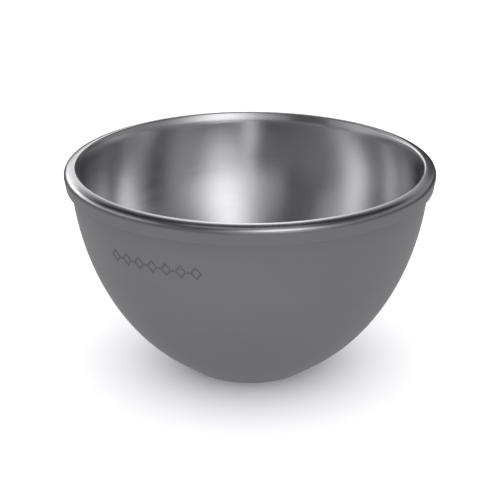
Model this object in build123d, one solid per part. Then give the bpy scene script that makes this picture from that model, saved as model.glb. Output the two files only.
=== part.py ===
from build123d import *
from math import acos, asin, atan2, cos, degrees, hypot, radians, sin, sqrt, tan
import os

# A shaving bowl with two walls, pressed from sheet steel. The polished liner is turned
# out over the satin shell at the rim and closes on it with a seal, and a vent in the
# bottom of the shell is plugged and covered by a cap.
# Millimetres, +Z up. The origin is the middle of the plane that the foot stands on,
# and the stamped band faces -Y.

# Overall sizes
outer_diameter = 110.0  # across the widest line of the collar
height = 63.5           # foot plane to the crest of the lip
sheet = 0.5             # both walls and the cap are pressed from this sheet

# The lip and collar: the liner's edge, turned out and then down over the shell
collar_width = 3.05     # crest of the lip out to the widest line of the collar
lip_bend = 0.1          # inside radius of the fold at the crest
lip_slope = 14.0        # degrees that the top of the lip falls outwards, on the whole
lip_crown = 8.0         # degrees that the slope turns through on each side of that
shoulder_radius = 1.8   # where the top of the lip turns down into the collar
collar_depth = 5.5      # crest of the lip down to the lower edge of the collar
collar_lean = 0.5       # the lower edge lies this far inside the widest line

# The liner
liner_floor = 6.0       # lowest point of the inside above the foot plane
liner_level = 5.0       # radius of the level middle of the floor
flare_lean = 25.0       # degrees that the wall leans outwards where it meets the lip
flare_radius = 7.2      # radius through which the wall turns outwards below the lip

# The body of the shell: an ellipse turned about the axis, cut off by the foot
collar_step = 1.84      # the ellipse's greatest radius is this much less than the collar's
centre_rise = 0.69      # the ellipse's centre lies this far above the crest of the lip
belly_depth = 4.21      # the whole ellipse would reach this far below the foot plane
tuck_gap = 0.4          # upper edge of the shell below the underside of the lip

# The foot, and the recess pressed up inside it
foot_spread = 1.64      # edge of the foot outside the ellipse, at the foot plane
foot_bend = 1.0         # inside radius of the sheet at the edge of the foot
foot_ring_width = 7.0   # width of the flat ring that the bowl stands on
recess_bend = 0.2       # inside radius of the sheet round the recess

# The seal between collar and shell
seal_setback = 0.7      # lower face of the seal above the lower edge of the collar

# The vent and its plug
vent_radius = 1.5
plug_clearance = 0.02   # plug's neck in the vent
plug_head_radius = 3.0
plug_head_height = 0.8
plug_head_edge = 0.25   # radius round the lower edge of the head
plug_barb_radius = 2.0
plug_barb_height = 0.9
plug_tip_radius = 1.2

# The cap in the recess
cap_clearance = 0.05    # cap's flange in the recess
cap_lift = 0.3          # face of the cap above the foot plane
cap_bend = 0.3          # inside radius of the cap's flange
cap_headroom = 0.2      # top of the flange below the recess's ceiling
plug_gap = 0.3          # between the cap's plate and the plug's head

# The band stamped into the front: open lozenges with a dot between each two
lozenge_count = 7
lozenge_width = 3.5
lozenge_height = 4.2
lozenge_stroke = 0.45   # width of the groove that draws a lozenge
band_pitch = 4.4        # from one lozenge to the next, along the surface
band_height = 48.1      # middle of the band above the foot plane
dot_radius = 0.35
stamp_depth = 0.12
stamp_margin = 1.0      # the stamping tools reach this far past the band

# Places that follow from the sizes above
collar_radius = outer_diameter / 2
lip_radius = sheet + lip_bend
crest_radius = collar_radius - collar_width
lip_centre = Vector(crest_radius, height - lip_radius)
inner_normal = 90 - lip_slope + lip_crown
outer_normal = 90 - lip_slope - lip_crown

body_radius = collar_radius - collar_step
body_centre = height + centre_rise
body_depth = body_centre + belly_depth
ellipse_foot = body_radius * cos(asin(body_centre / body_depth))
foot_radius = ellipse_foot + foot_spread

recess_radius = foot_radius - foot_ring_width
recess_height = cap_lift + sheet + plug_gap + plug_head_height
vent_top = recess_height + sheet


def polar(distance, angle):
    """A step of that distance, at an angle in degrees from the radial direction."""
    return Vector(distance * cos(radians(angle)), distance * sin(radians(angle)))


def turned(edges):
    """Turn a closed outline, drawn as radius and height, once round the Z axis."""
    outline = make_face([Plane.XZ * edge for edge in edges])
    return revolve(outline, Axis.Z)


def bend(centre, radius, start, end):
    """A round bend in the sheet, from one angle to another."""
    return CenterArc(centre, radius, start, end - start)


def ellipse(centre, semi_radius, semi_height, start, end):
    """A stretch of an ellipse between two parameter angles."""
    return EllipticalCenterArc(centre, semi_radius, semi_height, start, arc_size=end - start)


# The wall's flare ends where the fold at the crest begins, and touches it
flare_normal = 180 - flare_lean
flare_centre = lip_centre + polar(lip_radius - flare_radius, flare_normal)

# The crowned top of the lip touches the fold at the crest on one side and the shoulder on
# the other, and the shoulder touches the widest line
inner_way = polar(1, inner_normal)
outer_way = polar(1, outer_normal)
shoulder_reach = collar_radius - shoulder_radius - crest_radius
crown_reach = shoulder_reach - lip_radius * inner_way.X + shoulder_radius * outer_way.X
crown_radius = crown_reach / (outer_way.X - inner_way.X)
crown_centre = lip_centre + inner_way * (lip_radius - crown_radius)
shoulder_centre = crown_centre + outer_way * (crown_radius - shoulder_radius)

# The collar runs from the shoulder along the tangent that ends at its lower edge
collar_edge = Vector(collar_radius - collar_lean, height - collar_depth)
edge_step = collar_edge - shoulder_centre
edge_angle = atan2(edge_step.Y, edge_step.X)
collar_normal = degrees(edge_angle + acos(shoulder_radius / edge_step.length))


def collar_face(depth):
    """The flare, lip and collar on the face that lies this deep below the visible one."""
    flare = bend(flare_centre, flare_radius - depth, 180, flare_normal)
    lip = bend(lip_centre, lip_radius - depth, flare_normal, inner_normal)
    crown = bend(crown_centre, crown_radius - depth, inner_normal, outer_normal)
    shoulder = bend(shoulder_centre, shoulder_radius - depth, outer_normal, collar_normal)
    skirt = Line(shoulder @ 1, collar_edge - polar(depth, collar_normal))
    return [flare, lip, crown, shoulder, skirt]


def liner():
    """The liner: a level middle, a quarter of an ellipse up to the flare, and the collar."""
    centre = (liner_level, flare_centre.Y)
    inside = flare_centre.X - flare_radius - liner_level
    depth = flare_centre.Y - liner_floor
    upper = ellipse(centre, inside, depth, -90, 0)
    lower = ellipse(centre, inside + sheet, depth + sheet, -90, 0)
    floor = [Line((0, point.Y), point) for point in (upper @ 0, lower @ 0)]
    middle = Line(floor[0] @ 0, floor[1] @ 0)
    visible = collar_face(0)
    hidden = collar_face(sheet)
    edge = Line(visible[-1] @ 1, hidden[-1] @ 1)
    return turned([upper, *visible, edge, *hidden, lower, *floor, middle])


def body_parameter(depth, level):
    """The parameter angle of the body's ellipse, that deep in the sheet, at a height."""
    return -degrees(asin((body_centre - level) / (body_depth - depth)))


def foot_parameter(depth, corner):
    """Where the tangent from the foot's corner touches the body's ellipse."""
    across = corner[0] / (body_radius - depth)
    down = (body_centre - corner[1]) / (body_depth - depth)
    return degrees(acos(1 / hypot(across, down)) - atan2(down, across))


def body_wall(depth, corner, top):
    """The body's ellipse, from the tangent that ends at the foot's corner up to the top."""
    start = foot_parameter(depth, corner)
    end = body_parameter(depth, top)
    return ellipse((0, body_centre), body_radius - depth, body_depth - depth, start, end)


def shell_top():
    """The height of the shell's upper edge, tucked under the lip."""
    across = body_radius - crown_centre.X
    underside = crown_centre.Y + sqrt((crown_radius - sheet) ** 2 - across**2)
    return underside - tuck_gap


def shell():
    """The outer shell: the body's wall, the foot and the recess with the vent."""
    corner = (foot_radius, 0)
    outer = body_wall(0, corner, shell_top())
    wall_slope = atan2((outer @ 0).Y, (outer @ 0).X - foot_radius)
    inner_corner = (foot_radius - sheet * tan(wall_slope / 2), sheet)
    inner = body_wall(sheet, inner_corner, shell_top())
    under = FilletPolyline(
        outer @ 0,
        corner,
        (recess_radius, 0),
        (recess_radius, recess_height),
        (vent_radius, recess_height),
        radius=[foot_bend + sheet, recess_bend + sheet, recess_bend],
    )
    over = FilletPolyline(
        inner @ 0,
        inner_corner,
        (recess_radius + sheet, sheet),
        (recess_radius + sheet, vent_top),
        (vent_radius, vent_top),
        radius=[foot_bend, recess_bend, recess_bend + sheet],
    )
    edge = Line(outer @ 1, inner @ 1)
    vent = Line((vent_radius, recess_height), (vent_radius, vent_top))
    blank = turned([outer, edge, inner, *over.edges(), vent, *under.edges()])
    return blank - band_cutters()


def lozenge(width, tall):
    """A lozenge standing on its point."""
    side, point = width / 2, tall / 2
    return make_face(Polyline((side, 0), (0, point), (-side, 0), (0, -point), close=True))


def lozenge_ring():
    """The groove of one open lozenge, as wide as the stroke all round."""
    slant = hypot(lozenge_width, lozenge_height)
    narrowing = 2 * lozenge_stroke * slant / lozenge_height
    shortening = 2 * lozenge_stroke * slant / lozenge_width
    return lozenge(lozenge_width, lozenge_height) - lozenge(
        lozenge_width - narrowing, lozenge_height - shortening
    )


def band_skin():
    """The space outside the stamped floor, over the height of the band."""
    low = band_height - lozenge_height / 2 - stamp_margin
    high = band_height + lozenge_height / 2 + stamp_margin
    floor = ellipse(
        (0, body_centre),
        body_radius - stamp_depth,
        body_depth - stamp_depth,
        body_parameter(stamp_depth, low),
        body_parameter(stamp_depth, high),
    )
    reach = body_radius + stamp_margin
    outside = Line((reach, low), (reach, high))
    return turned([floor, outside, Line(floor @ 0, outside @ 0), Line(floor @ 1, outside @ 1)])


def band_cutters():
    """The lozenges and dots of the band, each driven straight in towards the axis."""
    surface = body_radius * cos(radians(body_parameter(0, band_height)))
    skin = band_skin()
    cutters = []
    for place in range(2 * lozenge_count - 1):
        figure = Circle(dot_radius) if place % 2 else lozenge_ring()
        along = (place / 2 - (lozenge_count - 1) / 2) * band_pitch
        turn = along / surface
        outward = Vector(sin(turn), -cos(turn), 0)
        across = Vector(cos(turn), sin(turn), 0)
        origin = Vector(0, 0, band_height) + outward * (surface - stamp_margin)
        face = Plane(origin=origin, x_dir=across, z_dir=outward)
        cutters.append(skin & extrude(face * figure, 2 * stamp_margin))
    return cutters


def seal():
    """The ring of sealant that fills the collar's straight part, from the setback up."""
    skirt = collar_face(sheet)[-1]
    high, edge = skirt @ 0, skirt @ 1
    low = edge + (high - edge) * (seal_setback / (high.Y - edge.Y))
    start, end = body_parameter(0, low.Y), body_parameter(0, high.Y)
    inside = ellipse((0, body_centre), body_radius, body_depth, start, end)
    return turned([inside, Line(low, high), Line(inside @ 0, low), Line(inside @ 1, high)])


def plug():
    """The plug: a flat head under the shell, a neck through the vent and a barb above."""
    neck = vent_radius - plug_clearance
    head_bottom = recess_height - plug_head_height
    outline = FilletPolyline(
        (0, head_bottom),
        (plug_head_radius, head_bottom),
        (plug_head_radius, recess_height),
        (neck, recess_height),
        (neck, vent_top),
        (plug_barb_radius, vent_top),
        (plug_tip_radius, vent_top + plug_barb_height),
        (0, vent_top + plug_barb_height),
        radius=[plug_head_edge, 0, 0, 0, 0, 0],
    )
    axis = Line((0, head_bottom), (0, vent_top + plug_barb_height))
    return turned([*outline.edges(), axis])


def cap():
    """The cap: a flat plate with a flange turned up inside the recess."""
    rim = recess_radius - cap_clearance
    top = recess_height - cap_headroom
    under = FilletPolyline((0, cap_lift), (rim, cap_lift), (rim, top), radius=cap_bend + sheet)
    over = FilletPolyline(
        (0, cap_lift + sheet), (rim - sheet, cap_lift + sheet), (rim - sheet, top), radius=cap_bend
    )
    middle = Line((0, cap_lift), (0, cap_lift + sheet))
    edge = Line((rim, top), (rim - sheet, top))
    return turned([*under.edges(), edge, *over.edges(), middle])


def main():
    """Write each piece to its own file."""
    pieces = {
        "inner_bowl": liner(),
        "outer_shell": shell(),
        "rim_seal": seal(),
        "vent_plug": plug(),
        "base_cap": cap(),
    }
    os.makedirs("parts", exist_ok=True)
    for name, piece in pieces.items():
        export_step(piece, f"parts/{name}.step")


main()
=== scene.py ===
import bpy
import numpy as np
from mathutils import Euler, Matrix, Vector


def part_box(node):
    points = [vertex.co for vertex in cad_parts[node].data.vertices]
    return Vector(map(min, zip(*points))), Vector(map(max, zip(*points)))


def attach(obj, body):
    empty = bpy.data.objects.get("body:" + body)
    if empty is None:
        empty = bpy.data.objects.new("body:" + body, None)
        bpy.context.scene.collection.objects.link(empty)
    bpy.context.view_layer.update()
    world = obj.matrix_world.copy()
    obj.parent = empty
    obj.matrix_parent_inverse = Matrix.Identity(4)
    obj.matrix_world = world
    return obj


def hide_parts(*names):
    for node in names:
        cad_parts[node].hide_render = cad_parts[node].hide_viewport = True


# A shaving bowl with two steel walls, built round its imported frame. The liner is polished
# inside and over the lip and satin on the collar, and the shell outside it is satin, with a
# stamped band on the front. Lengths are in metres, +Z is up and the band faces -Y.

bl_info = {
    "name": "Shaving Bowl",
    "version": (1, 0, 0),
    "blender": (4, 5, 0),
    "location": "3D View > Sidebar > Shaving Bowl",
    "description": "Builds a shaving bowl with two steel walls, and a studio for it",
    "category": "Add Mesh",
}

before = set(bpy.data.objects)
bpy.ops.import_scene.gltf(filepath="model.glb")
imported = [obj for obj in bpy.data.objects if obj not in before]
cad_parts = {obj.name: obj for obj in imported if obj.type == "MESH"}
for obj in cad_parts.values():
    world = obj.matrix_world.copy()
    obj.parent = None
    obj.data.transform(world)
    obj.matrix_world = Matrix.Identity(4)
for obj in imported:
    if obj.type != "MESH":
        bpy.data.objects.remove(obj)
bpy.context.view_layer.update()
BODY = "root"
MM = 0.001
COLLAR_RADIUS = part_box("inner_bowl")[1].x
CREST_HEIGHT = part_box("inner_bowl")[1].z
PLUG_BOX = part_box("vent_plug")
CAP_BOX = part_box("base_cap")


def length(name, millimetres, description):
    """A length that a user would change, with its default in millimetres."""
    return bpy.props.FloatProperty(
        name=name,
        description=description,
        default=millimetres * MM,
        min=0.0,
        precision=5,
        unit="LENGTH",
    )


def share(name, value, description):
    """A plain number from 0 to 1."""
    return bpy.props.FloatProperty(
        name=name, description=description, default=value, min=0.0, max=1.0, subtype="FACTOR"
    )


def colour(name, value, description):
    """A colour that a user would change."""
    return bpy.props.FloatVectorProperty(
        name=name, description=description, default=value, size=3, min=0.0, max=1.0, subtype="COLOR"
    )


def degrees(name, value, description):
    """An angle, with its default in degrees."""
    return bpy.props.FloatProperty(
        name=name, description=description, default=float(np.radians(value)), subtype="ANGLE"
    )


def number(name, value, description):
    """A plain number of any size."""
    return bpy.props.FloatProperty(name=name, description=description, default=value)


class BowlSizes(bpy.types.PropertyGroup):
    """The sizes of the bowl's pieces."""

    sheet: length("Sheet", 0.5, "Thickness of both walls and of the cap")
    collar_width: length("Collar width", 3.05, "Crest of the lip out to the collar's widest line")
    lip_bend: length("Lip bend", 0.1, "Inside radius of the fold at the crest")
    lip_slope: degrees("Lip slope", 14.0, "How far the top of the lip falls outwards on the whole")
    lip_crown: degrees("Lip crown", 8.0, "How far each side of that slope the top of the lip curves")
    shoulder_radius: length("Shoulder", 1.8, "Where the lip turns down into the collar")
    collar_depth: length("Collar depth", 5.5, "Crest of the lip down to the collar's edge")
    collar_lean: length("Collar lean", 0.5, "The collar's edge inside its widest line")
    polish_depth: length("Polish depth", 1.4, "Crest of the lip down to the end of the polish")
    liner_floor: length("Liner floor", 6.0, "Lowest point of the inside above the foot plane")
    liner_level: length("Level floor", 5.0, "Radius of the level middle of the floor")
    flare_lean: degrees("Flare lean", 25.0, "Outward lean of the wall where it meets the lip")
    flare_radius: length("Flare radius", 7.2, "Radius through which the wall turns outwards")
    collar_step: length("Collar step", 1.84, "How much narrower the body's ellipse is")
    centre_rise: length("Centre rise", 0.69, "Centre of the body's ellipse above the crest")
    belly_depth: length("Belly depth", 4.21, "The whole ellipse below the foot plane")
    tuck_gap: length("Tuck gap", 0.4, "Shell's upper edge below the underside of the lip")
    foot_spread: length("Foot spread", 1.64, "Edge of the foot outside the ellipse")
    foot_bend: length("Foot bend", 1.0, "Inside radius of the sheet at the foot's edge")
    foot_ring_width: length("Foot ring", 7.0, "Width of the ring that the bowl stands on")
    recess_bend: length("Recess bend", 0.2, "Inside radius of the sheet round the recess")
    vent_radius: length("Vent", 1.5, "Radius of the vent in the shell")
    seal_setback: length("Seal setback", 0.7, "Seal above the lower edge of the collar")
    plug_clearance: length("Plug clearance", 0.02, "The plug's neck in the vent")
    plug_head_height: length("Plug head", 0.8, "Height of the plug's head")
    plug_barb_radius: length("Plug barb", 2.0, "Radius of the plug's barb")
    plug_tip_radius: length("Plug tip", 1.2, "Radius of the plug's upper end")
    cap_bend: length("Cap bend", 0.3, "Inside radius of the cap's flange")


class BandSizes(bpy.types.PropertyGroup):
    """The band of open lozenges and dots stamped into the front of the shell."""

    count: bpy.props.IntProperty(name="Lozenges", description="How many in a row", default=7)
    width: length("Lozenge width", 3.5, "Width of one lozenge")
    tall: length("Lozenge height", 4.2, "Height of one lozenge")
    stroke: length("Stroke", 0.45, "Width of the groove that draws a lozenge")
    pitch: length("Pitch", 4.4, "From one lozenge to the next")
    level: length("Level", 48.1, "Middle of the band above the foot plane")
    dot: length("Dot", 0.35, "Radius of the dots between the lozenges")
    depth: length("Depth", 0.12, "Depth of the stamping")
    softness: length("Softness", 0.12, "Width over which the stamping's sides fall")


class BowlFinish(bpy.types.PropertyGroup):
    """The colours and finishes of the bowl's materials."""

    polished: colour("Polished steel", (0.70, 0.70, 0.71), "Reflection of the polished steel")
    polished_roughness: share("Polished roughness", 0.2, "Mean roughness of the polish")
    satin: colour("Satin steel", (0.36, 0.36, 0.375), "Reflection of the satin steel")
    satin_roughness: share("Satin roughness", 0.42, "Mean roughness of the satin finish")
    sealant: colour("Sealant", (0.03, 0.03, 0.033), "Colour of the seal")
    silicone: colour("Silicone", (0.45, 0.45, 0.46), "Colour of the plug")


class StudioSettings(bpy.types.PropertyGroup):
    """The camera, the floor and the light."""

    view_azimuth: degrees("View azimuth", 31.0, "Camera to the right of the front")
    view_reach: length("View reach", 391.74, "Camera's level distance from the axis")
    view_height: length("View height", 192.7, "Camera above the foot plane")
    view_pitch: degrees("View pitch", 21.92, "How far the camera looks down")
    lens: number("Lens", 99.9, "Focal length in millimetres on a 36 mm sensor")
    floor_radius: length("Floor radius", 4000.0, "Radius of the floor")
    floor: colour("Floor", (0.90, 0.90, 0.905), "Colour of the floor")
    floor_mirrored: colour("Floor in metal", (0.12, 0.12, 0.12), "Floor as the metal sees it")
    floor_glow: number("Floor glow", 0.31, "Even light of the near floor, for the metal only")
    light: colour("Light", (0.985, 0.975, 1.0), "Tint of all the light")
    dome: number("Dome", 1.7, "Strength of the even light on the floor")
    room: number("Room", 0.24, "Strength of the dim room that the metal mirrors")


# Profiles: points of radius and height, as arrays with one row for each point


def bend(centre, radius, start, end, steps=10):
    """A round bend: the centre plus the radius times the cosine and sine of an angle in
    degrees that goes evenly from start to end."""
    angle = np.radians(np.linspace(start, end, steps + 1))
    return np.column_stack((centre[0] + radius * np.cos(angle), centre[1] + radius * np.sin(angle)))


def ellipse(centre, across, tall, start, end, steps):
    """A stretch of an ellipse: the centre plus the half width times the cosine and the half
    height times the sine of a parameter in radians that goes evenly from start to end."""
    angle = np.linspace(start, end, steps + 1)
    return np.column_stack((centre[0] + across * np.cos(angle), centre[1] + tall * np.sin(angle)))


def straight(start, end, steps=1):
    """Points spaced evenly from start to end."""
    along = np.linspace(0.0, 1.0, steps + 1)[:, None]
    return (1 - along) * np.asarray(start) + along * np.asarray(end)


def corner(before, point, after, radius, steps=6):
    """A corner rounded by an arc that touches both of its sides."""
    point = np.asarray(point, float)
    back = np.asarray(before) - point
    on = np.asarray(after) - point
    back /= np.linalg.norm(back)
    on /= np.linalg.norm(on)
    half = np.arccos(np.clip(back @ on, -1, 1)) / 2
    middle = (back + on) / np.linalg.norm(back + on)
    centre = point + middle * radius / np.sin(half)
    first = point + back * radius / np.tan(half) - centre
    last = point + on * radius / np.tan(half) - centre
    turn = np.arctan2(first[0] * last[1] - first[1] * last[0], first @ last)
    angle = np.linspace(0.0, turn, steps + 1)[:, None]
    quarter = np.array([-first[1], first[0]])
    return centre + np.cos(angle) * first + np.sin(angle) * quarter


def outline(*stretches):
    """Stretches joined end to end, each point kept once."""
    points = np.vstack(stretches)
    step = np.linalg.norm(np.diff(points, axis=0), axis=1)
    return points[np.concatenate(([True], step > 1e-9))]


def sheared_edge(before, start, end, after, radius=0.08 * MM):
    """The cut edge of a sheet, from start to end, with both of its corners rounded."""
    return np.vstack((corner(before, start, end, radius, 3), corner(start, end, after, radius, 3)))


def turned(name, profile, columns, closed, sink=None):
    """A mesh turned about the Z axis. A point of the profile with radius r and height z goes
    to (r sin a, -r cos a, z) for every angle a of the columns. A closed profile returns to its
    start, and any other begins and ends on the axis, where its ring is one point. sink, if
    given, is how far each point of each ring lies nearer the axis."""
    radius, level = profile[:, 0], profile[:, 1]
    rings = slice(None) if closed else slice(1, -1)
    reach = np.repeat(radius[rings, None], len(columns), axis=1)
    if sink is not None:
        reach = reach - sink
    height = np.broadcast_to(level[rings, None], reach.shape)
    points = np.stack((reach * np.sin(columns), -reach * np.cos(columns), height), axis=-1)
    points = points.reshape(-1, 3)
    count, wide = reach.shape
    ring = np.arange(count * wide).reshape(count, wide)
    after = np.roll(ring, -1, axis=1)
    if closed:
        below, below_after = np.roll(ring, -1, axis=0), np.roll(after, -1, axis=0)
        quads = np.stack((ring, below, below_after, after), axis=-1).reshape(-1, 4)
        caps = np.empty((0, 3), int)
    else:
        quads = np.stack((ring[:-1], ring[1:], after[1:], after[:-1]), axis=-1).reshape(-1, 4)
        poles = np.array([[0.0, 0.0, level[0]], [0.0, 0.0, level[-1]]])
        first, last = len(points), len(points) + 1
        points = np.vstack((points, poles))
        top = np.stack((np.full(wide, first), ring[0], after[0]), axis=-1)
        bottom = np.stack((ring[-1], np.full(wide, last), after[-1]), axis=-1)
        caps = np.vstack((top, bottom))
    mesh = bpy.data.meshes.new(name)
    mesh.vertices.add(len(points))
    mesh.vertices.foreach_set("co", points.ravel())
    corners = np.concatenate((quads.ravel(), caps.ravel()))
    sizes = np.concatenate((np.full(len(quads), 4), np.full(len(caps), 3)))
    starts = np.concatenate(([0], np.cumsum(sizes)[:-1]))
    mesh.loops.add(len(corners))
    mesh.loops.foreach_set("vertex_index", corners)
    mesh.polygons.add(len(sizes))
    mesh.polygons.foreach_set("loop_start", starts)
    mesh.update(calc_edges=True)
    mesh.validate()
    mesh.shade_smooth()
    return mesh


def even_columns(count):
    """Angles spaced evenly once round."""
    return np.linspace(0.0, 2 * np.pi, count, endpoint=False)


def place(name, mesh, node, slot, *materials):
    """Link a finished mesh with its materials, hang it on what it rides on, and hide the CAD node that
    it stands for.
    """
    for material in materials:
        mesh.materials.append(material)
    piece = bpy.data.objects.new(name, mesh)
    bpy.context.scene.collection.objects.link(piece)
    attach(piece, BODY)
    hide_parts(node)
    return piece


# The lip and the collar


def normal(angle):
    """The unit vector at an angle in degrees from the radial direction."""
    return np.array([np.cos(np.radians(angle)), np.sin(np.radians(angle))])


class Collar:
    """Where the lip, its crowned top, the shoulder and the collar meet, from the bowl's
    sizes: three arcs that touch, and a straight skirt."""

    def __init__(self, sizes):
        self.lip_radius = sizes.sheet + sizes.lip_bend
        self.lip = np.array([COLLAR_RADIUS - sizes.collar_width, CREST_HEIGHT - self.lip_radius])
        self.flare_normal = 180 - np.degrees(sizes.flare_lean)
        self.flare_radius = sizes.flare_radius
        self.flare = self.lip + (self.lip_radius - self.flare_radius) * normal(self.flare_normal)
        slope, crown = np.degrees(sizes.lip_slope), np.degrees(sizes.lip_crown)
        self.inner_normal, self.outer_normal = 90 - slope + crown, 90 - slope - crown
        self.shoulder_radius = sizes.shoulder_radius
        near, far = normal(self.inner_normal), normal(self.outer_normal)
        reach = COLLAR_RADIUS - self.shoulder_radius - self.lip[0]
        spread = reach - self.lip_radius * near[0] + self.shoulder_radius * far[0]
        self.top_radius = spread / (far[0] - near[0])
        self.top = self.lip + (self.lip_radius - self.top_radius) * near
        self.shoulder = self.top + (self.top_radius - self.shoulder_radius) * far
        self.edge = np.array([COLLAR_RADIUS - sizes.collar_lean, CREST_HEIGHT - sizes.collar_depth])
        step = self.edge - self.shoulder
        lean = np.arctan2(step[1], step[0])
        self.skirt_normal = np.degrees(lean + np.arccos(self.shoulder_radius / np.hypot(*step)))

    def face(self, depth):
        """The flare, lip, top, shoulder and skirt on the face this deep below the visible one."""
        near, far = self.inner_normal, self.outer_normal
        flare = bend(self.flare, self.flare_radius - depth, 180, self.flare_normal, 12)
        lip = bend(self.lip, self.lip_radius - depth, self.flare_normal, near, 12)
        top = bend(self.top, self.top_radius - depth, near, far, 8)
        shoulder = bend(self.shoulder, self.shoulder_radius - depth, far, self.skirt_normal, 20)
        foot = self.edge - depth * normal(self.skirt_normal)
        return flare, lip, top, shoulder, straight(shoulder[-1], foot, 5)


def liner_profile(sizes):
    """The liner from the middle of its floor, up the inside, over the lip, down the collar
    and back along the hidden face."""
    collar = Collar(sizes)
    centre = (sizes.liner_level, collar.flare[1])
    across = collar.flare[0] - collar.flare_radius - sizes.liner_level
    tall = collar.flare[1] - sizes.liner_floor
    inside = ellipse(centre, across, tall, -np.pi / 2, 0, 110)
    hidden = ellipse(centre, across + sizes.sheet, tall + sizes.sheet, 0, -np.pi / 2, 50)
    visible = list(collar.face(0))
    back = [stretch[::-1] for stretch in reversed(collar.face(sizes.sheet))]
    edge = sheared_edge(visible[-1][-2], visible[-1][-1], back[0][0], back[0][1])
    visible[-1] = visible[-1][:-1]
    back[0] = back[0][1:]
    return outline(
        straight((0, inside[0, 1]), inside[0], 4),
        inside,
        *visible,
        edge,
        *back,
        hidden,
        straight(hidden[-1], (0, hidden[-1, 1]), 4),
    )


# The shell


class Body:
    """The body's ellipse, the foot and the recess, from the bowl's sizes."""

    def __init__(self, sizes):
        self.sheet = sizes.sheet
        self.radius = COLLAR_RADIUS - sizes.collar_step
        self.centre = CREST_HEIGHT + sizes.centre_rise
        self.depth = self.centre + sizes.belly_depth
        at_foot = self.radius * np.sqrt(1 - (self.centre / self.depth) ** 2)
        self.foot_radius = at_foot + sizes.foot_spread
        self.recess_radius = self.foot_radius - sizes.foot_ring_width
        collar = Collar(sizes)
        across = self.radius - collar.top[0]
        under = collar.top[1] + np.sqrt((collar.top_radius - sizes.sheet) ** 2 - across**2)
        self.top = under - sizes.tuck_gap

    def parameter(self, depth, level):
        """The ellipse's parameter at a height, for the face this deep in the sheet."""
        return -np.arcsin((self.centre - level) / (self.depth - depth))

    def radius_at(self, level):
        """The radius of the visible face at a height."""
        return self.radius * np.cos(self.parameter(0.0, level))

    def foot_parameter(self, depth, corner_point):
        """Where the tangent from the foot's corner touches the ellipse."""
        across = corner_point[0] / (self.radius - depth)
        down = (self.centre - corner_point[1]) / (self.depth - depth)
        return np.arccos(1 / np.hypot(across, down)) - np.arctan2(down, across)

    def wall(self, depth, parameters):
        """Points of the ellipse at these parameters."""
        return np.column_stack((
            (self.radius - depth) * np.cos(parameters),
            self.centre + (self.depth - depth) * np.sin(parameters),
        ))


def foot_run(points, radii):
    """Straight runs through the points, with every inner corner rounded by its own radius."""
    runs = [np.asarray([points[0]])]
    for before, point, after, radius in zip(points, points[1:], points[2:], radii):
        runs.append(corner(before, point, after, radius))
    runs.append(np.asarray([points[-1]]))
    return np.vstack(runs)


def shell_profile(sizes, fine_levels):
    """The shell from its upper edge down the outside, under the foot, up through the vent
    and back up the inside. fine_levels are the heights of the rings across the band."""
    body = Body(sizes)
    foot = np.array([body.foot_radius, 0.0])
    low = body.foot_parameter(0.0, foot)
    above = np.linspace(body.parameter(0.0, body.top), body.parameter(0.0, fine_levels[0]), 14)
    band = body.parameter(0.0, fine_levels[1:-1])
    below = np.linspace(body.parameter(0.0, fine_levels[-1]), low, 46)
    outer = body.wall(0.0, np.concatenate((above, band, below)))
    slope = np.arctan2(outer[-1, 1], outer[-1, 0] - foot[0])
    inner_foot = foot + (-sizes.sheet * np.tan(slope / 2), sizes.sheet)
    start = body.foot_parameter(sizes.sheet, inner_foot)
    end = body.parameter(sizes.sheet, body.top)
    inner = body.wall(sizes.sheet, np.linspace(start, end, 40))
    ceiling = PLUG_BOX[0].z + sizes.plug_head_height
    bends = [sizes.foot_bend, sizes.recess_bend, sizes.recess_bend + sizes.sheet]
    under = foot_run(
        [outer[-1], foot, (body.recess_radius, 0.0), (body.recess_radius, ceiling),
         (sizes.vent_radius, ceiling)],
        [bends[0] + sizes.sheet, bends[1] + sizes.sheet, bends[1]],
    )
    side = body.recess_radius + sizes.sheet
    over = foot_run(
        [inner[0], inner_foot, (side, sizes.sheet), (side, ceiling + sizes.sheet),
         (sizes.vent_radius, ceiling + sizes.sheet)],
        bends,
    )
    return outline(outer, under, over[::-1], inner)


def groove(distance, half_width, softness):
    """How deep a groove is, from 0 to 1, by the distance from its middle line: 1 inside the
    half width, with sides that fall smoothly over the softness."""
    fall = np.clip((half_width - distance) / softness + 0.5, 0.0, 1.0)
    return fall * fall * (3 - 2 * fall)


def band_depth(along, up, band):
    """The stamping at a place on the surface, from 0 to 1. A lozenge's middle line is where
    |along| / half width + |up| / half height is constant, and the dots lie halfway between."""
    middle = (band.count - 1) / 2
    place_in_row = np.clip(np.round(along / band.pitch + middle), 0, band.count - 1)
    offset = np.abs(along - (place_in_row - middle) * band.pitch)
    half_wide, half_tall = band.width / 2, band.tall / 2
    across = half_wide * half_tall / np.hypot(half_wide, half_tall)
    inward = (1 - offset / half_wide - np.abs(up) / half_tall) * across
    lozenge = groove(np.abs(inward - band.stroke / 2), band.stroke / 2, band.softness)
    gap = np.clip(np.round(along / band.pitch + middle - 0.5), 0, band.count - 2)
    from_dot = np.hypot(along - (gap + 0.5 - middle) * band.pitch, up)
    return np.maximum(lozenge, groove(from_dot, band.dot, band.softness))


def band_columns(band, radius):
    """Angles once round: close together across the band, and further apart elsewhere."""
    half = ((band.count - 1) / 2 * band.pitch + band.width) / radius
    fine = np.linspace(-half, half, 300)
    coarse = np.linspace(half, 2 * np.pi - half, 210)[1:-1]
    return np.concatenate((fine, coarse))


# Nodes of the materials


def calc(tree, operation, *values):
    """The result of a calculation."""
    made = tree.nodes.new("ShaderNodeMath")
    made.operation = operation
    for socket, value in zip(made.inputs, values):
        if isinstance(value, bpy.types.NodeSocket):
            tree.links.new(value, socket)
        else:
            socket.default_value = value
    return made.outputs[0]


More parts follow.
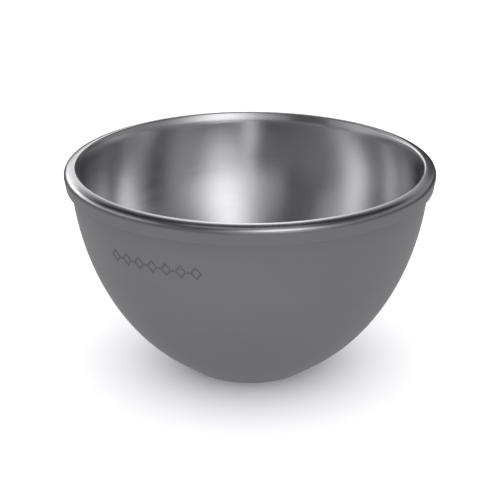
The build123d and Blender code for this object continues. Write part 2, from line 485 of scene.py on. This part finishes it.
def ramp(tree, value, low, high, from_low=0.0, from_high=1.0, kind="SMOOTHSTEP"):
    """A value carried smoothly from one range to another."""
    made = tree.nodes.new("ShaderNodeMapRange")
    made.interpolation_type = kind
    tree.links.new(value, made.inputs["Value"])
    made.inputs["From Min"].default_value = from_low
    made.inputs["From Max"].default_value = from_high
    made.inputs["To Min"].default_value = low
    made.inputs["To Max"].default_value = high
    return made.outputs["Result"]


def tint(tree, factor, first, second):
    """A colour between two, by a factor. Each colour is three numbers or another node's."""
    made = tree.nodes.new("ShaderNodeMix")
    made.data_type = "RGBA"
    tree.links.new(factor, made.inputs[0])
    for socket, value in ((made.inputs[6], first), (made.inputs[7], second)):
        if isinstance(value, bpy.types.NodeSocket):
            tree.links.new(value, socket)
        else:
            socket.default_value = (*value, 1.0)
    return made.outputs[2]


def new_material(name):
    """A material with only its output and its surface shader."""
    material = bpy.data.materials.new(name)
    material.use_nodes = True
    tree = material.node_tree
    tree.nodes.clear()
    shader = tree.nodes.new("ShaderNodeBsdfPrincipled")
    output = tree.nodes.new("ShaderNodeOutputMaterial")
    tree.links.new(shader.outputs["BSDF"], output.inputs["Surface"])
    return material, tree, shader


def cloud(tree, scale, detail, vector=None):
    """Soft noise over the object, from 0 to 1."""
    made = tree.nodes.new("ShaderNodeTexNoise")
    made.inputs["Scale"].default_value = scale
    made.inputs["Detail"].default_value = detail
    if vector is None:
        vector = tree.nodes.new("ShaderNodeTexCoord").outputs["Object"]
    tree.links.new(vector, made.inputs["Vector"])
    return made.outputs["Fac"]


def rings(tree, pitch, slow):
    """Noise drawn out round the axis, as a lathe or a polishing wheel leaves it: it changes
    once in a pitch along the wall and slowly round it, and has no seam."""
    position = tree.nodes.new("ShaderNodeTexCoord").outputs["Object"]
    split = tree.nodes.new("ShaderNodeSeparateXYZ")
    tree.links.new(position, split.inputs[0])
    east, north, level = split.outputs
    radius = calc(tree, "SQRT", calc(tree, "ADD", calc(tree, "MULTIPLY", east, east),
                                     calc(tree, "MULTIPLY", north, north)))
    safe = calc(tree, "MAXIMUM", radius, 1e-4)
    join = tree.nodes.new("ShaderNodeCombineXYZ")
    tree.links.new(calc(tree, "MULTIPLY", calc(tree, "DIVIDE", east, safe), slow), join.inputs[0])
    tree.links.new(calc(tree, "MULTIPLY", calc(tree, "DIVIDE", north, safe), slow), join.inputs[1])
    tree.links.new(calc(tree, "MULTIPLY", level, 1 / pitch), join.inputs[2])
    made = tree.nodes.new("ShaderNodeTexNoise")
    made.noise_dimensions = "4D"
    made.inputs["Scale"].default_value = 1.0
    made.inputs["Detail"].default_value = 3.0
    tree.links.new(join.outputs[0], made.inputs["Vector"])
    tree.links.new(calc(tree, "MULTIPLY", radius, 1 / pitch), made.inputs["W"])
    return made.outputs["Fac"]


def bump(tree, height, distance):
    """A bump of a height given from 0 to 1."""
    made = tree.nodes.new("ShaderNodeBump")
    made.inputs["Distance"].default_value = distance
    tree.links.new(height, made.inputs["Height"])
    return made.outputs["Normal"]


def polished_steel(finish):
    """Polished stainless steel: faint rings left by the wheel, and a roughness that varies a
    little where water and the brush have dulled it."""
    material, tree, shader = new_material("polished_steel")
    shader.inputs["Metallic"].default_value = 1.0
    shader.inputs["Anisotropic"].default_value = 0.6
    shader.inputs["Anisotropic Rotation"].default_value = 0.25
    lines = rings(tree, 0.5 * MM, 2.0)
    smears = cloud(tree, 38.0, 3.0)
    bright = tuple(finish.polished)
    dull = tuple(0.93 * part for part in bright)
    tree.links.new(tint(tree, ramp(tree, smears, 0.0, 1.0, 0.35, 0.65), dull, bright),
                   shader.inputs["Base Color"])
    mean = finish.polished_roughness
    rough = calc(tree, "ADD", ramp(tree, smears, mean - 0.025, mean + 0.025, 0.3, 0.7),
                 ramp(tree, lines, -0.02, 0.02, 0.3, 0.7))
    tree.links.new(rough, shader.inputs["Roughness"])
    tree.links.new(bump(tree, lines, 0.2e-6), shader.inputs["Normal"])
    return material


def satin_steel(finish, name, stamped):
    """Satin stainless steel: a fine even grain with faint turned rings, a slow change of
    tone, and painted shade that darkens the stamping's recesses."""
    material, tree, shader = new_material(name)
    shader.inputs["Metallic"].default_value = 1.0
    lines = rings(tree, 0.35 * MM, 3.0)
    grain = cloud(tree, 5200.0, 2.0)
    tone = cloud(tree, 26.0, 2.0)
    light = tuple(finish.satin)
    dark = tuple(0.94 * part for part in light)
    base = tint(tree, ramp(tree, tone, 0.0, 1.0, 0.3, 0.7), dark, light)
    # Where stamped, the colour darkens with the stamping's depth: painted shade in its recesses.
    if stamped:
        mark = tree.nodes.new("ShaderNodeAttribute")
        mark.attribute_name = "stamping"
        painted_shade = tuple(0.5 * part for part in light)
        base = tint(tree, ramp(tree, mark.outputs["Fac"], 0.0, 0.55), base, painted_shade)
    tree.links.new(base, shader.inputs["Base Color"])
    mean = finish.satin_roughness
    rough = calc(tree, "ADD", ramp(tree, lines, mean - 0.03, mean + 0.03, 0.3, 0.7),
                 ramp(tree, tone, -0.02, 0.02, 0.3, 0.7))
    tree.links.new(rough, shader.inputs["Roughness"])
    height = calc(tree, "ADD", calc(tree, "MULTIPLY", lines, 0.6), calc(tree, "MULTIPLY", grain, 0.4))
    tree.links.new(bump(tree, height, 1.5e-6), shader.inputs["Normal"])
    return material


def soft_material(name, tone, roughness, scale):
    """Rubber or sealant: nearly matt, with a fine uneven skin."""
    material, tree, shader = new_material(name)
    skin = cloud(tree, scale, 4.0)
    light = tuple(tone)
    tree.links.new(tint(tree, skin, tuple(0.75 * part for part in light), light),
                   shader.inputs["Base Color"])
    tree.links.new(ramp(tree, skin, roughness - 0.08, roughness + 0.08, 0.3, 0.7),
                   shader.inputs["Roughness"])
    tree.links.new(bump(tree, skin, 6e-6), shader.inputs["Normal"])
    return material


# Operators, one for each piece


class BOWL_OT_liner(bpy.types.Operator):
    """Build the liner, with its polished lip and satin collar"""

    bl_idname = "shaving_bowl.liner"
    bl_label = "Liner"

    def execute(self, context):
        sizes, finish = context.scene.bowl_sizes, context.scene.bowl_finish
        profile = liner_profile(sizes)
        mesh = turned("inner_bowl_steel", profile, even_columns(360), False)
        place("inner_bowl_steel", mesh, "inner_bowl", "polished_steel",
              polished_steel(finish), satin_steel(finish, "satin_collar", False))
        centres = np.empty(len(mesh.polygons) * 3)
        mesh.polygons.foreach_get("center", centres)
        centres = centres.reshape(-1, 3)
        outside = np.hypot(centres[:, 0], centres[:, 1]) > COLLAR_RADIUS - sizes.collar_width
        satin = outside & (centres[:, 2] < CREST_HEIGHT - sizes.polish_depth)
        mesh.polygons.foreach_set("material_index", satin.astype(np.int32))
        return {"FINISHED"}


class BOWL_OT_shell(bpy.types.Operator):
    """Build the outer shell, with its foot, its recess and the stamped band"""

    bl_idname = "shaving_bowl.shell"
    bl_label = "Outer shell"

    def execute(self, context):
        scene = context.scene
        sizes, band = scene.bowl_sizes, scene.bowl_band
        reach = band.tall / 2 + band.stroke
        levels = np.linspace(band.level + reach, band.level - reach, 46)
        profile = shell_profile(sizes, levels)
        radius = Body(sizes).radius_at(band.level)
        columns = band_columns(band, radius)
        along = np.where(columns > np.pi, columns - 2 * np.pi, columns) * radius
        outside = np.zeros(len(profile), bool)
        outside[: np.argmin(profile[:, 1])] = True
        mark = band_depth(along[None, :], profile[:, 1, None] - band.level, band)
        mark = np.where(outside[:, None], mark, 0.0)
        mesh = turned("outer_shell_steel", profile, columns, True, mark * band.depth)
        # The stamping's depth, kept on the points, also drives the painted shade that the satin material
        # puts in the recesses.
        stamping = mesh.attributes.new("stamping", "FLOAT", "POINT")
        stamping.data.foreach_set("value", mark.astype(np.float32).ravel())
        place("outer_shell_steel", mesh, "outer_shell", "satin_steel",
              satin_steel(scene.bowl_finish, "satin_steel", True))
        return {"FINISHED"}


class BOWL_OT_seal(bpy.types.Operator):
    """Build the ring of sealant between the collar and the shell"""

    bl_idname = "shaving_bowl.seal"
    bl_label = "Rim seal"

    def execute(self, context):
        sizes = context.scene.bowl_sizes
        collar, body = Collar(sizes), Body(sizes)
        skirt = collar.face(sizes.sheet)[-1]
        high, edge = skirt[0], skirt[-1]
        low = edge + (high - edge) * sizes.seal_setback / (high[1] - edge[1])
        inner = body.wall(0.0, np.linspace(body.parameter(0.0, low[1]), body.parameter(0.0, high[1]), 5))
        sag = (inner[0] + low) / 2 + (0.0, 0.25 * MM)
        hollow = np.vstack((low, sag, inner[0]))
        profile = outline(straight(high, low, 4), hollow, inner)
        mesh = turned("rim_seal_bead", profile, even_columns(240), True)
        place("rim_seal_bead", mesh, "rim_seal", "sealant",
              soft_material("sealant", context.scene.bowl_finish.sealant, 0.6, 900.0))
        return {"FINISHED"}


class BOWL_OT_plug(bpy.types.Operator):
    """Build the plug that closes the vent"""

    bl_idname = "shaving_bowl.plug"
    bl_label = "Vent plug"

    def execute(self, context):
        sizes = context.scene.bowl_sizes
        low, high = PLUG_BOX
        ceiling = low.z + sizes.plug_head_height
        neck = sizes.vent_radius - sizes.plug_clearance
        barb = ceiling + sizes.sheet
        points = [(0.0, high.z), (sizes.plug_tip_radius, high.z), (sizes.plug_barb_radius, barb),
                  (neck, barb), (neck, ceiling), (high.x, ceiling), (high.x, low.z), (0.0, low.z)]
        small = 0.06 * MM
        profile = foot_run(points, [0.2 * MM, small, small, small, small, 0.25 * MM])
        mesh = turned("vent_plug_silicone", outline(profile), even_columns(96), False)
        place("vent_plug_silicone", mesh, "vent_plug", "silicone",
              soft_material("silicone", context.scene.bowl_finish.silicone, 0.5, 1400.0))
        return {"FINISHED"}


class BOWL_OT_cap(bpy.types.Operator):
    """Build the cap in the recess of the foot"""

    bl_idname = "shaving_bowl.cap"
    bl_label = "Base cap"

    def execute(self, context):
        sizes = context.scene.bowl_sizes
        low, high = CAP_BOX
        plate = low.z + sizes.sheet
        inner = high.x - sizes.sheet
        small = 0.08 * MM
        points = [(0.0, plate), (inner, plate), (inner, high.z), (high.x, high.z),
                  (high.x, low.z), (0.0, low.z)]
        profile = foot_run(points, [sizes.cap_bend, small, small, sizes.cap_bend + sizes.sheet])
        mesh = turned("base_cap_steel", outline(profile), even_columns(240), False)
        place("base_cap_steel", mesh, "base_cap", "cap_steel",
              satin_steel(context.scene.bowl_finish, "brushed_cap", False))
        return {"FINISHED"}


# The studio


def toward(tree, split, azimuth):
    """The cosine of the level angle between a direction and an azimuth."""
    east, north, up = split.outputs
    flat = calc(tree, "SQRT", calc(tree, "SUBTRACT", 1.0, calc(tree, "MULTIPLY", up, up)))
    along = calc(tree, "ADD", calc(tree, "MULTIPLY", east, float(np.sin(azimuth))),
                 calc(tree, "MULTIPLY", north, float(-np.cos(azimuth))))
    return calc(tree, "DIVIDE", along, calc(tree, "MAXIMUM", flat, 1e-4))


def soft_panel(tree, split, azimuth, spread, rise, fall, strength):
    """A panel of light that is brightest at its azimuth and fades to both sides as a bell
    curve does, and that fades in and out over two ranges of the upward share."""
    up = split.outputs[2]
    short = calc(tree, "SUBTRACT", toward(tree, split, azimuth), 1.0)
    side = calc(tree, "EXPONENT", calc(tree, "MULTIPLY", short, float(2 / spread**2)))
    fade = calc(tree, "MULTIPLY", ramp(tree, up, 0.0, 1.0, *rise), ramp(tree, up, 1.0, 0.0, *fall))
    return calc(tree, "MULTIPLY", calc(tree, "MULTIPLY", side, strength), fade)


def slanted_panel(tree, split, azimuth, behind):
    """A panel behind the bowl whose middle moves to the right as it rises, up to a height, and
    stands upright above that. With d the level sine from its middle, the light falls as a bell
    curve to both sides, and it is wider and stronger towards its upper edge."""
    up = split.outputs[2]
    middle = ramp(tree, up, -0.32, 0.0, 0.0, 0.36, "LINEAR")
    left_spread = ramp(tree, up, 0.1, 0.19, 0.3, 0.45, "LINEAR")
    right_spread = ramp(tree, up, 0.09, 0.2, 0.28, 0.45, "LINEAR")
    offset = calc(tree, "SUBTRACT", toward(tree, split, azimuth + np.pi / 2), middle)
    to_left = calc(tree, "MULTIPLY", calc(tree, "DIVIDE", offset, left_spread), -1.0)
    to_right = calc(tree, "DIVIDE", offset, right_spread)
    scaled = calc(tree, "MAXIMUM", to_right, to_left)
    square = calc(tree, "MULTIPLY", scaled, scaled)
    side = calc(tree, "EXPONENT", calc(tree, "MULTIPLY", square, -1.0))
    strength = ramp(tree, up, 0.95, 1.75, 0.36, 0.54)
    rise = ramp(tree, up, 0.0, 1.0, 0.14, 0.28)
    fall = ramp(tree, up, 1.0, 0.0, 0.64, 0.72)
    fade = calc(tree, "MULTIPLY", calc(tree, "MULTIPLY", strength, fall), rise)
    return calc(tree, "MULTIPLY", calc(tree, "MULTIPLY", side, fade), behind)


def dark_places(tree, split, front, behind):
    """How much of the room's own light is missing, from 0 to 1: along the horizon and high up
    behind the bowl, low in the corner behind it to the right, and in a doorway to the left of
    the viewer."""
    height = split.outputs[2]
    right = toward(tree, split, front + np.pi / 2)
    horizon = ramp(tree, height, 0.9, 0.0, 0.08, 0.22)
    high = calc(tree, "MULTIPLY", ramp(tree, height, 0.0, 0.9, 0.52, 0.66),
                ramp(tree, height, 1.0, 0.0, 0.86, 0.95))
    corner_side = calc(tree, "MULTIPLY", ramp(tree, right, 0.0, 0.85, 0.02, 0.1),
                       ramp(tree, right, 1.0, 0.0, 0.35, 0.5))
    low_corner = calc(tree, "MULTIPLY", corner_side, ramp(tree, height, 1.0, 0.0, 0.3, 0.42))
    rear = calc(tree, "MAXIMUM", horizon, calc(tree, "MAXIMUM", high, low_corner))
    beside = toward(tree, split, front - np.radians(42))
    doorway = calc(tree, "MULTIPLY", ramp(tree, beside, 0.0, 0.75, 0.94, 0.99),
                   ramp(tree, height, 1.0, 0.0, 0.25, 1.0))
    return calc(tree, "MAXIMUM", doorway, calc(tree, "MULTIPLY", behind, rear))


def room_light(tree, split, studio):
    """What the metal mirrors: a room that is darker towards the ceiling, a little light
    straight above, and four soft panels placed by the angle from the viewer."""
    front = studio.view_azimuth
    turn = np.radians
    height = split.outputs[2]
    behind = ramp(tree, toward(tree, split, front), 1.0, 0.0, -0.75, -0.2)
    walls = ramp(tree, height, studio.room, 0.25 * studio.room, 0.35, 0.8)
    lit = calc(tree, "SUBTRACT", 1.0, dark_places(tree, split, front, behind))
    room = calc(tree, "MULTIPLY", walls, lit)
    room = calc(tree, "ADD", room, ramp(tree, height, 0.0, 0.18, 0.9, 0.97))
    key = soft_panel(tree, split, azimuth=front + turn(20), spread=turn(24),
                     rise=(-0.05, 0.05), fall=(0.8, 0.97), strength=1.2)
    side = soft_panel(tree, split, azimuth=front - turn(84), spread=turn(22),
                      rise=(-0.05, 0.05), fall=(0.6, 0.8), strength=0.22)
    left = soft_panel(tree, split, azimuth=front - turn(141), spread=turn(25),
                      rise=(0.06, 0.2), fall=(0.37, 0.48), strength=1.6)
    back = slanted_panel(tree, split, front, behind)
    total = room
    for panel in (key, side, left, back):
        total = calc(tree, "ADD", total, panel)
    return total


def build_world(studio):
    """The surroundings: even light for the floor, and a dim room with soft panels for the
    metal to mirror."""
    world = bpy.data.worlds.new("studio")
    bpy.context.scene.world = world
    world.use_nodes = True
    tree = world.node_tree
    tree.nodes.clear()
    direction = tree.nodes.new("ShaderNodeTexCoord").outputs["Generated"]
    split = tree.nodes.new("ShaderNodeSeparateXYZ")
    tree.links.new(direction, split.inputs[0])
    mirrored = tree.nodes.new("ShaderNodeBackground")
    mirrored.inputs["Color"].default_value = (*studio.light, 1.0)
    tree.links.new(room_light(tree, split, studio), mirrored.inputs["Strength"])
    even = tree.nodes.new("ShaderNodeBackground")
    even.inputs["Color"].default_value = (*studio.light, 1.0)
    even.inputs["Strength"].default_value = studio.dome
    path = tree.nodes.new("ShaderNodeLightPath")
    mix = tree.nodes.new("ShaderNodeMixShader")
    tree.links.new(path.outputs["Is Glossy Ray"], mix.inputs[0])
    tree.links.new(even.outputs[0], mix.inputs[1])
    tree.links.new(mirrored.outputs[0], mix.inputs[2])
    output = tree.nodes.new("ShaderNodeOutputWorld")
    tree.links.new(mix.outputs[0], output.inputs["Surface"])


def floor_material(studio):
    """A pale floor. What the metal mirrors of it is a dim glow near the bowl and a little of
    the shadow, and both fade with the distance from the bowl."""
    material = bpy.data.materials.new("floor")
    material.use_nodes = True
    tree = material.node_tree
    tree.nodes.clear()
    path = tree.nodes.new("ShaderNodeLightPath")
    matt = tree.nodes.new("ShaderNodeBsdfDiffuse")
    position = tree.nodes.new("ShaderNodeTexCoord").outputs["Object"]
    distance = tree.nodes.new("ShaderNodeVectorMath")
    distance.operation = "LENGTH"
    tree.links.new(position, distance.inputs[0])
    close = tuple(studio.floor_mirrored)
    distant = tuple(0.15 * part for part in close)
    far = ramp(tree, distance.outputs["Value"], 0.0, 1.0, 300 * MM, 500 * MM)
    mirrored = tint(tree, far, close, distant)
    tree.links.new(tint(tree, path.outputs["Is Glossy Ray"], tuple(studio.floor), mirrored),
                   matt.inputs["Color"])
    glow = tree.nodes.new("ShaderNodeEmission")
    glow.inputs["Color"].default_value = (*studio.light, 1.0)
    near = ramp(tree, distance.outputs["Value"], studio.floor_glow, 0.1 * studio.floor_glow,
                140 * MM, 320 * MM)
    tree.links.new(calc(tree, "MULTIPLY", near, path.outputs["Is Glossy Ray"]),
                   glow.inputs["Strength"])
    both = tree.nodes.new("ShaderNodeAddShader")
    tree.links.new(matt.outputs[0], both.inputs[0])
    tree.links.new(glow.outputs[0], both.inputs[1])
    output = tree.nodes.new("ShaderNodeOutputMaterial")
    tree.links.new(both.outputs[0], output.inputs["Surface"])
    return material


class BOWL_OT_stage(bpy.types.Operator):
    """Lay the floor, and set up the light and the camera"""

    bl_idname = "shaving_bowl.stage"
    bl_label = "Studio"

    def execute(self, context):
        scene = context.scene
        studio = scene.bowl_studio
        angles = even_columns(96)
        rim = np.column_stack((np.cos(angles), np.sin(angles), np.zeros(len(angles))))
        mesh = bpy.data.meshes.new("floor")
        mesh.from_pydata((rim * studio.floor_radius).tolist(), [], [list(range(len(angles)))])
        mesh.materials.append(floor_material(studio))
        floor = bpy.data.objects.new("floor", mesh)
        scene.collection.objects.link(floor)
        build_world(studio)
        data = bpy.data.cameras.new("camera")
        data.lens = studio.lens
        data.sensor_width = 36.0
        camera = bpy.data.objects.new("camera", data)
        angle = studio.view_azimuth
        camera.location = Vector((np.sin(angle) * studio.view_reach,
                                  -np.cos(angle) * studio.view_reach, studio.view_height))
        camera.rotation_euler = Euler((np.pi / 2 - studio.view_pitch, 0.0, angle))
        scene.collection.objects.link(camera)
        scene.camera = camera
        scene.view_settings.view_transform = "Standard"
        return {"FINISHED"}


class BOWL_PT_sidebar(bpy.types.Panel):
    """The bowl's sizes, its finish and the buttons that build it"""

    bl_idname = "BOWL_PT_sidebar"
    bl_label = "Shaving Bowl"
    bl_space_type = "VIEW_3D"
    bl_region_type = "UI"
    bl_category = "Shaving Bowl"

    def draw(self, context):
        for operator in OPERATORS:
            self.layout.operator(operator.bl_idname)
        for group in GROUPS:
            box = self.layout.box()
            settings = getattr(context.scene, group)
            for key in settings.bl_rna.properties.keys():
                if key not in ("rna_type", "name"):
                    box.prop(settings, key)


GROUPS = {
    "bowl_sizes": BowlSizes,
    "bowl_band": BandSizes,
    "bowl_finish": BowlFinish,
    "bowl_studio": StudioSettings,
}
OPERATORS = (BOWL_OT_liner, BOWL_OT_shell, BOWL_OT_seal, BOWL_OT_plug, BOWL_OT_cap, BOWL_OT_stage)


def register():
    """Register the settings, the operators and the panel."""
    for name, group in GROUPS.items():
        bpy.utils.register_class(group)
        setattr(bpy.types.Scene, name, bpy.props.PointerProperty(type=group))
    for operator in OPERATORS:
        bpy.utils.register_class(operator)
    bpy.utils.register_class(BOWL_PT_sidebar)


def unregister():
    """Take back what register did."""
    bpy.utils.unregister_class(BOWL_PT_sidebar)
    for operator in reversed(OPERATORS):
        bpy.utils.unregister_class(operator)
    for name, group in reversed(GROUPS.items()):
        delattr(bpy.types.Scene, name)
        bpy.utils.unregister_class(group)


def main():
    register()
    bpy.ops.shaving_bowl.liner()
    bpy.ops.shaving_bowl.shell()
    bpy.ops.shaving_bowl.seal()
    bpy.ops.shaving_bowl.plug()
    bpy.ops.shaving_bowl.cap()
    bpy.ops.shaving_bowl.stage()


if __name__ == "__main__":
    main()
